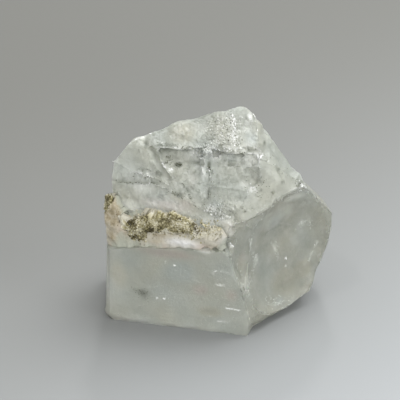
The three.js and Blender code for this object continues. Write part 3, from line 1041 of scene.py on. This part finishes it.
feldspar = {
    "depth": 8,
    "fill": 0.5,
    "press": 0.7,  # it is drawn to the stone where the stone is nearer than this
    "sink": 0.15,  # how far it is pressed into the stone there
    "needle": 0.25,  # what stands out further than this is drawn in
    "cream": ((0.54, 0.505, 0.41), (0.62, 0.59, 0.51)),
    "rosy": (0.72, 0.62, 0.55),
    "white": (0.86, 0.85, 0.84),
    "stain": [
        (0.3, (0.25, 0.20, 0.11)),
        (0.5, (0.42, 0.36, 0.25)),
        (0.7, (0.50, 0.445, 0.335)),
    ],
    "grains": ((0.85, 0.83, 0.79), (0.36, 0.30, 0.20)),
    "speck": (0.12, 0.095, 0.045),
    "thin": (0.51, 0.53, 0.455),  # it thins out to the stone's own colour
    "band": [
        (-1.0, 12.0, 19.5), (0.4, 11.9, 19.5), (1.2, 12.6, 19.7), (1.8, 13.3, 19.3),
        (2.2, 13.8, 18.0), (2.6, 13.9, 16.4), (3.0, 13.7, 15.9), (3.8, 13.2, 16.4),
        (5.3, 12.75, 17.0), (7.6, 12.4, 16.6), (9.5, 12.2, 16.9), (11.3, 12.0, 16.4),
        (13.7, 11.4, 15.9), (15.3, 11.7, 16.0), (16.3, 12.9, 16.3), (17.3, 14.0, 16.3),
        (18.2, 15.0, 15.6),
    ],
    "marks": {
        "tan": [
            ((1.4, 5.5, 16.0), (2.6, 4, 3.4), 1.3),
            ((2.0, 5.0, 12.8), (3.0, 4, 1.6), 1.1),
            ((7.9, 3.2, 14.3), (2.2, 3, 0.9), 0.9),
            ((5.4, 3.6, 12.5), (3.0, 3, 0.8), 0.5),
            ((7.4, 3.0, 13.2), (2.6, 3, 1.0), 0.6),
            ((1.6, 6.2, 17.6), (1.8, 4, 2.2), 1.3),
            ((3.0, 4.4, 13.8), (1.2, 3, 1.4), 0.5),
            ((14.5, 1.0, 13.4), (2.6, 3, 1.0), 0.4),
        ],
        "white": [
            ((10.8, 2.3, 13.4), (3.6, 3, 0.95), 1.1),
            ((13.2, 1.6, 15.6), (1.6, 3, 1.0), 0.4),
            ((16.2, 1.4, 14.8), (1.8, 3, 1.4), 0.4),
        ],
        "rosy": [
            ((7.6, 2.9, 12.6), (3.0, 3, 0.7), 1.0),
            ((13.4, 1.6, 13.2), (2.0, 3, 0.7), 0.8),
            ((2.6, 4.6, 14.6), (1.4, 3, 1.6), 0.6),
        ],
        "speckled": [
            ((2.4, 4.9, 15.6), (2.4, 3, 3.0), 1.2),
            ((8.2, 3.0, 14.2), (8.0, 3, 1.4), 1.0),
        ],
    },
}


def feldsparMaterial():
    f = Finish("feldspar")
    tan = f.painted("tan")
    grain = f.noise(1.6, detail=5, roughness=0.65)
    patch = f.noise(0.5, detail=3)
    speck = f.cells(f.place(3.4))
    pale = f.mix(patch, *feldspar["cream"])
    pale = f.mix(f.painted("rosy"), pale, feldspar["rosy"])
    pale = f.mix(f.painted("white"), pale, feldspar["white"])
    stain = f.ramp(grain, feldspar["stain"])
    colour = f.mix(tan * f.step(grain + tan * 0.3, 0.4, 0.7), pale, stain)
    paleGrain, darkGrain = feldspar["grains"]
    colour = f.mix((grain - 0.5) * 0.8, colour, paleGrain)
    colour = f.mix((0.5 - grain) * 0.8, colour, darkGrain)
    dark = f.painted("speckled") * f.step(speck, 0.3, 0.15) * f.step(speck.output("Color"), 0.5, 0.6)
    colour = f.mix(dark, colour, feldspar["speck"])
    colour = f.mix(f.painted("thin"), colour, feldspar["thin"])
    relief = f.bump(grain * 0.8 + speck * 0.4, 0.7, 0.2)
    return f.finish(f.surface({"Base Color": colour, "Roughness": 0.5 + grain * 0.3, "Normal": relief}))


def makeFeldspar(stone):
    piece = newPiece("feldspar_filling", cadCopy("feldspar_seam"), feldsparMaterial())
    mesh = remeshed(piece, feldspar)
    tree = nearby(mesh)
    paint = {name: [0] * len(mesh.vertices) for name in [*feldspar["marks"], "thin"]}
    dabAll(tree, paint, feldspar["marks"])
    normals = [vertex.normal.copy() for vertex in mesh.vertices]
    for vertex, normal in zip(mesh.vertices, normals):
        q = measure(vertex.co)
        within = inside(q, feldspar["band"])
        height = 0.35 * noise.noise(q * 0.8) - 0.25 * facets(q, 0.9) - 0.14 * (1 - scallops(q, 0.5))
        outward = 1 - 0.9 * ease(0.3, -0.3, q.x)  # the left end hardly grows past the node's side
        moved = vertex.co + normal * (height + 0.1) * outward * mm
        found, facing, face, away = stone.find_nearest(moved)
        near = ease(feldspar["press"], 0.28, away / mm)
        pull = max(near, ease(0.4, -0.3, within) * ease(3, 2, away / mm))
        vertex.co = moved.lerp(found - facing * feldspar["sink"] * mm, pull)
        paint["thin"][vertex.index] = 0.95 * ease(0.75, -0.15, within)
    drawnIn(mesh, feldspar["needle"])
    paintedOn(mesh, paint)
    mesh.shade_smooth()
    print("feldspar:", len(mesh.polygons), "faces")
    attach(piece, "root")
    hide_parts("feldspar_seam")


mica = {
    "sink": 0.2,  # how far the mound is pressed into what it lies on
    "throw": 15,  # how far off the flakes start
    "palest": 0.82,  # shade of the palest flake
    "bare": (0.94, 0.16),  # shade of the bare mound at the left, and how far it rises to the right
    "olive": [
        (0.0, (0.06, 0.048, 0.018)),
        (0.25, (0.16, 0.135, 0.055)),
        (0.5, (0.40, 0.36, 0.19)),
        (0.7, (0.64, 0.59, 0.41)),
        (0.82, (0.82, 0.79, 0.66)),
        (0.9, (0.50, 0.47, 0.38)),  # from here on, the mound where it is bare
        (1.0, (0.68, 0.65, 0.55)),
    ],
    "crust": {
        "node": "mica_crust",
        "seed": 11,
        "depth": 7,
        "fill": 0.9,
        "count": 3800,
        "radius": (0.05, 0.16),
        "thick": (0.015, 0.035),
        "toward": (0, 0.8, -0.6),  # how the flakes are thrown at it
        "reach": (0.5, 1.0, 1.6),  # how far past the node's box they are aimed
        "lift": (-0.05, 0.12),
        "lean": 50,  # degrees
        "tone": 0.12,  # shade of the flakes before chance and the spots are added
        "press": 0.5,  # how far the mound is drawn down to what it lies on
        "thinning": 0.8,  # how much thinner the flakes lie at the right end
        "patchiness": 1,
        "band": [
            (3.3, 15.0, 15.2), (3.5, 14.3, 15.7), (3.9, 13.7, 16.0), (4.5, 13.4, 16.3),
            (5.3, 13.3, 16.6), (5.9, 13.4, 16.5), (6.3, 14.4, 16.2), (6.6, 14.7, 16.1),
            (7.5, 14.9, 16.1), (8.8, 14.9, 16.4), (9.8, 14.8, 16.5), (10.3, 14.7, 16.3),
            (10.9, 14.7, 16.1), (11.6, 14.6, 15.8), (12.4, 13.7, 15.6), (13.0, 13.9, 15.4),
            (14.2, 14.1, 15.3), (15.2, 14.3, 15.2), (16.3, 14.7, 15.0),
        ],
        "spots": [
            ((3.3, 4.4, 15.4), (0.7, 2, 0.6), -0.4),
            ((4.2, 4.3, 16.3), (0.9, 2, 0.5), -0.5),
            ((5.2, 4.0, 16.8), (0.8, 2, 0.5), -0.4),
            ((6.1, 3.9, 16.1), (0.5, 2, 0.6), -0.4),
            ((4.8, 4.2, 15.2), (1.6, 2, 1.0), 0.1),
            ((4.6, 4.0, 13.4), (1.4, 2, 0.7), -0.4),
            ((6.8, 3.3, 14.8), (0.6, 2, 0.7), -0.8),
            ((10.5, 2.6, 14.6), (0.4, 2, 0.4), -0.6),
            ((12.5, 2.2, 15.0), (0.7, 2, 1.0), -0.3),
            ((8.6, 3.6, 16.2), (1.3, 2, 0.8), 0.2),
            ((8.2, 4.4, 16.9), (2.0, 2, 0.7), 0.35),
            ((14.6, 1.8, 15.6), (2.4, 2, 1.4), 0.4),
        ],
    },
    "tuft": {
        "node": "mica_tuft",
        "seed": 12,
        "depth": 5,
        "fill": 0.9,
        "count": 800,
        "radius": (0.05, 0.13),
        "thick": (0.015, 0.035),
        "toward": (0.75, 0.55, -0.35),
        "reach": (0, 0.2, 0.2),
        "lift": (-0.14, 0.0),
        "lean": 55,
        "tone": 0.06,
        "press": 0.4,
        "thinning": 0,
        "patchiness": 0,
        "band": [(-1.0, 17.3, 19.3), (0.9, 17.3, 19.5), (1.15, 17.5, 19.4), (1.4, 18.2, 18.8)],
        "spots": [((0.7, 6.9, 17.3), (1.2, 2, 0.5), 0.25)],
    },
}


def micaMaterial(name):
    f = Finish(name)
    grain = f.noise(3, detail=4)
    colour = f.ramp(f.painted("shade") + (grain - 0.5) * 0.25, mica["olive"])
    values = {"Base Color": colour, "Roughness": 0.3 + grain * 0.25, "Specular IOR Level": 0.6}
    return f.finish(f.surface(values))


def cover(q, look):
    # how thickly the flakes lie, from 0 to 1
    patches = look["patchiness"] * noise.noise(q * 0.75 + Vector((3, 0, 5)))
    return ease(-0.3, 0.1, patches + 0.25 - look["thinning"] * ease(11.0, 13.4, q.x))


def spotted(q, look):
    # how much paler or darker than the rest a place is
    return sum(amount * softSpot(q, centre, radii) for centre, radii, amount in look["spots"])


def pressMound(shape, shade, look, grounds):
    # the mound is roughened and drawn down to what it lies on, most of all where it is bare
    bareShade, rise = mica["bare"]
    for vertex in shape.verts:
        q = measure(vertex.co)
        within = inside(q, look["band"])
        height = 0.25 * noise.noise(q * 1.3) + 0.15 * noise.noise(q * 4)
        moved = vertex.co + vertex.normal * height * mm
        found, facing, face, away = nearest(grounds, moved)
        bare = 1 - cover(q, look)
        pull = max(ease(0.3, -0.1, within), ease(0.5, 0.2, away / mm), look["press"], bare)
        vertex.co = moved.lerp(found - facing * mica["sink"] * mm, pull)
        if max(bare, ease(0.15, -0.1, within)) > 0.5:
            vertex[shade] = bareShade + rise * ease(5, 10, q.x)
        else:
            tone = 0.36 - 0.5 * noise.noise(q * 1.6) + 0.5 * noise.noise(q * 5) + spotted(q, look)
            vertex[shade] = min(tone, 0.7)


def throwFlakes(shape, shade, look, grounds):
    # thin six-sided flakes are thrown over the mound and over what it lies on
    dice = random.Random(look["seed"])
    low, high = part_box(look["node"])
    trees = [BVHTree.FromBMesh(shape), *grounds]
    toward = Vector(look["toward"])
    thrown = 0
    while thrown < look["count"]:
        ranges = [(a - r * mm, b + r * mm) for a, b, r in zip(low, high, look["reach"])]
        target = Vector([dice.uniform(*limits) for limits in ranges])
        hits = [tree.ray_cast(target - toward * mica["throw"] * mm, toward) for tree in trees]
        hits = [hit for hit in hits if hit[0]]
        if not hits:
            continue
        point, normal = min(hits, key=lambda hit: hit[3])[:2]
        q = measure(point)
        within = inside(q, look["band"])
        share = ease(-0.35, 0.25, within) * (0.15 + 0.85 * cover(q, look))
        if dice.random() > share + 0.05 * ease(-1.3, -0.3, within):
            continue
        thrown += 1
        radius = dice.uniform(*look["radius"]) * mm
        lean = [math.radians(dice.gauss(0, look["lean"])) for axis in range(2)]
        tilt = Euler([*lean, dice.uniform(0, math.tau)]).to_matrix().to_4x4()
        turn = normal.to_track_quat("Z", "Y").to_matrix().to_4x4()
        at = Matrix.Translation(point + normal * dice.uniform(*look["lift"]) * mm)
        flake = bmesh.ops.create_cone(
            shape, cap_ends=True, segments=6, radius1=radius, radius2=radius * dice.uniform(0.7, 1),
            depth=dice.uniform(*look["thick"]) * mm, matrix=at @ (turn @ tilt))
        tone = look["tone"] + 0.7 * dice.random() + 0.6 * noise.noise(q * 0.9) + spotted(q, look)
        for vertex in flake["verts"]:
            vertex[shade] = min(tone, mica["palest"])


def makeMica(name, look, grounds):
    # one patch of mica: a rough mound and the flakes on it
    piece = newPiece(name, cadCopy(look["node"]), micaMaterial(name))
    shape = bmesh.new()
    shape.from_mesh(remeshed(piece, look))
    shape.normal_update()
    bmesh.ops.triangulate(shape, faces=shape.faces)
    shade = shape.verts.layers.float.new("shade")
    pressMound(shape, shade, look, grounds)
    throwFlakes(shape, shade, look, grounds)
    shape.to_mesh(piece.data)
    shape.free()
    print(name + ":", len(piece.data.polygons), "faces")
    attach(piece, "root")
    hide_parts(look["node"])


# Splinters and specks in the stone's skin, partly painted light: white ones are painted glints, and dark
# ones along the rim are painted shadow. Each group: how light they are (0 to 1), how many, how far they
# stray from their line, their size, how long they are for their width and the points that the line passes
splintersAndGlints = {
    "seed": 31,
    "sink": (-0.04, 0.02),
    "lean": 0.5,
    "spread": 0.12,  # how far the shade of one strays from its group's
    "shades": [
        (0.0, (0.07, 0.075, 0.045)),
        (0.3, (0.26, 0.27, 0.21)),
        (0.7, (0.74, 0.76, 0.71)),
        (1.0, (1, 1, 1)),
    ],
    # groups near tone 1 are painted glints; the dark groups on the prism's front are olive specks
    "groups": [
        (1.0, 60, 0.2, (0.05, 0.11), 1.6, [
            (17.6, 13.2, 27.8), (17.8, 12.0, 27.2), (18.1, 10.3, 26.3), (17.9, 8.3, 25.2)]),
        (0.25, 26, 0.35, (0.04, 0.09), 1.8, [
            (17.0, 13.2, 27.8), (17.3, 11.0, 26.8), (18.3, 9.4, 25.9), (18.2, 8.3, 25.2)]),
        (0.95, 110, 0.8, (0.03, 0.08), 1.6, [
            (16.2, 12.2, 27.3), (18.3, 11.4, 27.0), (17.0, 9.4, 25.8), (14.4, 8.8, 25.3)]),
        (0.2, 60, 0.8, (0.03, 0.07), 3.0, [
            (16.2, 12.2, 27.3), (18.3, 11.4, 27.0), (17.0, 9.4, 25.8), (14.0, 8.8, 25.3)]),
        (1.0, 26, 0.06, (0.04, 0.08), 3.0, [(3.6, 9.6, 24.8), (5.0, 10.3, 25.4), (6.6, 10.8, 25.8)]),
        (1.0, 10, 0.12, (0.06, 0.12), 1.4, [(20.0, 12.7, 27.8), (20.4, 12.0, 27.4)]),
        (1.0, 34, 0.3, (0.04, 0.1), 1.4, [(21.5, 7.0, 24.6), (21.1, 6.4, 24.0)]),
        (0.3, 20, 0.4, (0.04, 0.08), 2.0, [(20.4, 7.0, 24.2), (21.3, 6.2, 23.8)]),
        (0.9, 36, 0.35, (0.04, 0.09), 1.4, [(13.4, 7.8, 24.6), (15.2, 7.6, 24.6)]),
        # dark splinters along the rim: painted shadow under it
        (0.2, 60, 0.1, (0.03, 0.07), 3.0, [(7.6, 9.2, 25.3), (10.3, 8.3, 24.9), (12.4, 8.0, 24.8)]),
        (0.15, 40, 0.08, (0.03, 0.06), 3.0, [(13.4, 7.9, 24.8), (17.1, 7.7, 24.7), (20.6, 6.9, 24.5)]),
        (1.0, 26, 0.1, (0.03, 0.07), 3.0, [(9.6, 8.4, 24.7), (12.0, 8.0, 24.5)]),
        (1.0, 14, 0.06, (0.07, 0.11), 3.0, [(8.3, 7.0, 22.9), (8.9, 6.9, 22.6), (9.5, 6.7, 22.3)]),
        (1.0, 7, 0.05, (0.05, 0.09), 2.6, [(4.7, 6.5, 21.9), (5.3, 6.3, 21.6)]),
        (1.0, 9, 0.06, (0.06, 0.1), 2.0, [(6.2, 6.2, 21.7), (6.7, 5.9, 21.3)]),
        (1.0, 9, 0.1, (0.05, 0.08), 1.2, [(6.1, 5.7, 20.8), (6.6, 5.6, 20.6)]),
        (0.15, 26, 0.07, (0.04, 0.08), 3.0, [
            (4.0, 6.6, 21.0), (5.0, 6.4, 21.5), (6.2, 6.0, 21.3), (7.0, 5.7, 21.0)]),
        (0.2, 50, 0.05, (0.03, 0.06), 3.5, [(1.9, 7.3, 20.2), (4.5, 6.4, 20.6), (7.6, 5.5, 21.0)]),
        (0.1, 26, 0.1, (0.05, 0.1), 2.0, [(10.1, 7.3, 22.9), (10.8, 7.2, 22.8)]),
        (0.1, 26, 0.1, (0.05, 0.1), 2.0, [(14.5, 6.4, 23.3), (14.7, 6.1, 22.8)]),
        (0.25, 30, 0.15, (0.03, 0.08), 2.6, [(8.4, 8.2, 24.2), (9.2, 7.4, 23.4), (9.0, 7.0, 22.9)]),
        (0.2, 40, 0.06, (0.03, 0.06), 3.0, [(10.9, 5.0, 20.9), (11.6, 4.0, 20.0), (12.6, 2.9, 18.5)]),
        (0.3, 50, 0.25, (0.04, 0.09), 1.6, [(9.6, 4.4, 19.9), (11.0, 4.0, 19.7)]),
        (1.0, 18, 0.25, (0.04, 0.09), 1.4, [(14.0, 6.1, 22.8), (14.2, 5.6, 22.2)]),
        (0.8, 50, 0.35, (0.03, 0.08), 1.6, [(13.9, 7.0, 24.0), (14.1, 5.4, 22.0), (14.0, 3.6, 20.0)]),
        (0.2, 50, 0.35, (0.03, 0.08), 1.6, [(14.5, 7.0, 24.0), (14.8, 5.2, 21.6), (14.6, 3.4, 19.6)]),
        (0.95, 50, 0.45, (0.04, 0.09), 1.5, [(14.2, 2.6, 18.5), (15.6, 2.0, 17.9)]),
        (0.2, 40, 0.5, (0.03, 0.08), 1.8, [(14.2, 2.6, 18.5), (16.4, 1.9, 17.6)]),
        (1.0, 30, 0.4, (0.04, 0.09), 1.5, [(20.0, 4.4, 20.9), (20.8, 4.0, 20.3)]),
        (0.25, 40, 0.6, (0.03, 0.08), 1.8, [(19.4, 4.4, 21.2), (21.4, 4.4, 20.6), (22.4, 5.2, 20.2)]),
        (0.2, 16, 0.5, (0.04, 0.09), 1.3, [(23.0, 8.6, 24.8), (24.6, 7.6, 21.8), (25.6, 8.4, 21.2)]),
        (1.0, 40, 0.35, (0.04, 0.11), 1.5, [(26.9, 7.7, 19.9), (27.6, 7.7, 18.9)]),
        (0.25, 26, 0.4, (0.04, 0.09), 1.6, [(26.4, 7.8, 20.2), (27.3, 7.6, 19.2)]),
        (0.75, 110, 0.25, (0.03, 0.07), 1.8, [
            (17.8, 1.2, 17.0), (21.4, 4.2, 17.6), (24.6, 6.4, 18.5), (27.0, 7.6, 18.9)]),
        (0.8, 60, 1.6, (0.03, 0.06), 1.8, [(4.0, 6.6, 19.6), (9.0, 4.6, 18.6), (13.0, 3.2, 19.0)]),
        (1.0, 8, 0.05, (0.08, 0.12), 2.6, [(17.3, 1.6, 13.8), (17.7, 1.6, 13.2)]),
        (0.8, 40, 0.3, (0.03, 0.07), 1.6, [
            (20.5, 2.7, 13.9), (20.3, 2.7, 12.6), (20.6, 3.4, 11.0), (21.1, 4.3, 9.8)]),
        (0.7, 40, 0.3, (0.03, 0.08), 1.6, [(21.1, 4.0, 9.2), (20.4, 2.4, 8.0), (19.8, 0.9, 7.2)]),
        (0.9, 22, 0.35, (0.04, 0.08), 1.6, [(20.2, 1.6, 7.8), (19.7, 0.5, 6.4)]),
        (0.7, 60, 0.7, (0.03, 0.07), 1.8, [(18.2, 1.2, 9.6), (18.8, 0.8, 7.0), (19.4, 0.4, 4.6)]),
        (1.0, 6, 0.06, (0.07, 0.12), 1.0, [(25.4, 8.4, 7.6), (25.5, 8.4, 7.5)]),
        (0.8, 5, 0.08, (0.04, 0.07), 1.0, [(25.4, 8.1, 6.6), (25.5, 8.1, 6.4)]),
        (0.7, 26, 0.2, (0.03, 0.07), 2.0, [(23.9, 7.6, 11.2), (24.1, 7.6, 9.4), (24.2, 7.5, 8.2)]),
        (0.8, 14, 0.2, (0.03, 0.07), 1.5, [(28.7, 10.3, 13.0), (28.8, 10.4, 10.7)]),
        (0.75, 30, 0.35, (0.03, 0.07), 1.5, [(27.4, 9.7, 12.3), (28.2, 10.0, 12.4)]),
        (1.0, 5, 0.1, (0.04, 0.08), 1.6, [(29.8, 10.6, 8.9), (29.7, 10.5, 8.5)]),
        (0.7, 24, 0.12, (0.03, 0.06), 2.2, [(29.6, 10.5, 8.2), (29.0, 10.1, 7.0), (28.8, 9.9, 6.2)]),
        (0.8, 44, 0.4, (0.03, 0.08), 1.8, [(22.6, 4.0, 3.6), (23.6, 4.4, 2.6), (26.4, 6.7, 2.1)]),
        (1.0, 10, 0.2, (0.04, 0.08), 1.4, [(24.5, 5.1, 2.3), (23.8, 4.6, 2.5)]),
        (1.0, 4, 0.04, (0.1, 0.14), 1.8, [(9.7, 2.4, 9.9), (9.9, 2.3, 9.9)]),
        (0.9, 3, 0.05, (0.05, 0.08), 1.0, [(8.5, 2.6, 10.3), (8.7, 2.6, 10.3)]),
        (1.0, 4, 0.05, (0.1, 0.14), 1.0, [(7.3, 2.8, 4.4), (7.5, 2.8, 4.4)]),
        (1.0, 4, 0.05, (0.1, 0.14), 1.0, [(8.3, 2.6, 4.4), (8.5, 2.6, 4.4)]),
        (0.95, 12, 0.06, (0.04, 0.07), 3.0, [(15.4, 1.0, 7.6), (16.6, 0.7, 7.6)]),
        (1.0, 34, 0.08, (0.05, 0.1), 3.0, [(16.8, 0.7, 4.1), (18.8, 0.2, 4.0)]),
        (0.9, 8, 0.1, (0.04, 0.07), 3.0, [(16.6, 0.7, 4.6), (17.4, 0.6, 4.7)]),
        (0.9, 14, 0.06, (0.04, 0.07), 3.0, [(15.6, 0.9, 1.8), (17.0, 0.7, 1.9)]),
        (1.0, 4, 0.1, (0.05, 0.08), 1.2, [(14.6, 1.2, 2.5), (14.8, 1.2, 2.5)]),
        (0.85, 18, 0.14, (0.04, 0.08), 1.6, [(15.2, 1.0, 9.2), (15.5, 1.0, 10.0), (16.3, 0.8, 9.8)]),
        (0.8, 14, 0.2, (0.03, 0.06), 1.6, [(17.8, 0.6, 3.2), (18.6, 0.3, 2.4)]),
        (0.9, 40, 0.9, (0.03, 0.08), 1.5, [(15.6, 0.9, 7.6), (17.6, 0.6, 5.4)]),
        (0.25, 34, 0.35, (0.03, 0.07), 1.4, [(5.1, 3.4, 5.2), (5.5, 3.3, 4.2)]),
        (0.25, 26, 0.25, (0.03, 0.07), 2.0, [(4.1, 3.7, 5.2), (5.2, 3.4, 5.0), (6.4, 3.2, 5.2)]),
    ],
}


def splinterAndGlintMaterial():
    f = Finish("splintersAndGlints")
    colour = f.ramp(f.painted("shade"), splintersAndGlints["shades"])
    return f.finish(f.surface({"Base Color": colour, "Roughness": 0.25}))


def makeSplintersAndGlints(stone):
    dice = random.Random(splintersAndGlints["seed"])
    shape = bmesh.new()
    shade = shape.verts.layers.float.new("shade")
    for tone, count, stray, sizes, long, points in splintersAndGlints["groups"]:
        for number in range(count):
            share = dice.uniform(0, len(points) - 1)
            start, end = [Vector(point) for point in points[int(share):int(share) + 2]]
            target = start.lerp(end, share % 1) + Vector([dice.gauss(0, stray) for axis in range(3)])
            point, normal = stone.find_nearest(place(target))[:2]
            lean = Vector([dice.gauss(0, splintersAndGlints["lean"]) for axis in range(3)])
            facing = (normal + lean).normalized()
            across = facing.cross(end - start).normalized()
            turn = Matrix((across.cross(facing), across, facing)).transposed().to_4x4()
            at = Matrix.Translation(point - normal * dice.uniform(*splintersAndGlints["sink"]) * mm)
            radius = dice.uniform(*sizes) * mm
            stretch = Matrix.Diagonal((dice.uniform(1, long), 1, 0.5, 1))
            made = bmesh.ops.create_cone(
                shape, cap_ends=True, segments=5, radius1=radius, radius2=radius * 0.5,
                depth=radius, matrix=at @ turn @ stretch)
            lightness = tone + dice.uniform(-splintersAndGlints["spread"], splintersAndGlints["spread"])
            for vertex in made["verts"]:
                vertex[shade] = lightness
    piece = newPiece("sealed_splinters", shape, splinterAndGlintMaterial())
    print("splinters:", len(piece.data.polygons), "faces")
    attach(piece, "root")


# Sheets of haze sealed in the stone: the place on the skin that each lies under, how deep, how far it
# reaches, how long it is for its width, and how it is tilted and turned
veils = {
    "thick": 0.02,
    "waver": 0.25,
    "colour": (0.93, 0.95, 0.90),
    "sheets": [
        ((4.0, 3.8, 8.6), 0.7, 2.2, 1.4, 12, 20),
        ((9.4, 2.4, 8.8), 0.5, 2.0, 1.5, 8, 80),
        ((12.4, 1.8, 5.4), 0.8, 2.2, 1.3, 15, 140),
        ((6.6, 3.0, 3.0), 0.8, 2.0, 1.6, 14, 200),
        ((15.4, 1.0, 10.2), 0.6, 1.6, 1.6, 16, 30),
        ((17.6, 0.8, 8.0), 0.5, 1.4, 1.8, 18, 90),
        ((16.2, 0.8, 3.2), 0.5, 1.8, 1.6, 10, 10),
        ((21.2, 4.4, 9.6), 0.5, 1.6, 2.2, 16, 95),
        ((24.4, 7.6, 9.6), 0.6, 1.6, 2.0, 14, 80),
        ((23.4, 6.4, 13.6), 0.7, 1.8, 1.5, 12, 20),
        ((27.6, 9.7, 12.4), 0.5, 1.3, 1.5, 12, 60),
        ((26.0, 8.4, 6.2), 0.7, 1.8, 1.5, 14, 120),
        ((28.8, 9.9, 7.2), 0.4, 1.0, 2.0, 14, 70),
        ((24.6, 5.4, 3.2), 0.5, 1.6, 2.0, 12, 30),
        ((21.4, 3.4, 5.4), 0.6, 1.5, 1.6, 16, 110),
    ],
}


def veilMaterial():
    f = Finish("veil")
    wisp = f.step(f.noise(0.9, detail=5, roughness=0.7), 0.42, 0.68)
    values = {"Base Color": (*veils["colour"], 1), "Roughness": 0.4, "Alpha": wisp * 0.8}
    return f.finish(f.surface(values))


def makeVeils(stone):
    shape = bmesh.new()
    for centre, deep, reach, long, tilt, turn in veils["sheets"]:
        point, normal = stone.find_nearest(place(centre))[:2]
        facing = normal.to_track_quat("Z", "Y").to_matrix().to_4x4()
        lean = Matrix.Rotation(math.radians(turn), 4, "Z") @ Matrix.Rotation(math.radians(tilt), 4, "X")
        size = Matrix.Diagonal((reach * mm, reach / long * mm, veils["thick"] * mm, 1))
        at = Matrix.Translation(point - normal * deep * mm)
        made = bmesh.ops.create_icosphere(
            shape, subdivisions=4, radius=1, matrix=at @ facing @ lean @ size)
        for vertex in made["verts"]:
            vertex.co += normal * veils["waver"] * noise.noise(measure(vertex.co) * 0.9) * mm
    piece = newPiece("sealed_veils", shape, veilMaterial())
    piece.data.shade_smooth()
    print("veils:", len(piece.data.polygons), "faces")
    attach(piece, "root")


def treeOf(name):
    return BVHTree.FromObject(bpy.data.objects[name], bpy.context.evaluated_depsgraph_get())


makeCamera()
makeLamps()
makeFloor()
print("camera, lamps and floor placed")
makeCrystal()
crystalTree = treeOf("crystal_skin")
makeFeldspar(crystalTree)
grounds = (treeOf("feldspar_filling"), crystalTree)
makeMica("mica_flakes", mica["crust"], grounds)
makeMica("mica_tuft_flakes", mica["tuft"], grounds[:1])
makeSplintersAndGlints(crystalTree)
makeVeils(crystalTree)

scene = bpy.context.scene
scene.view_settings.view_transform = "Standard"
scene.cycles.max_bounces = 24
scene.cycles.transmission_bounces = 16
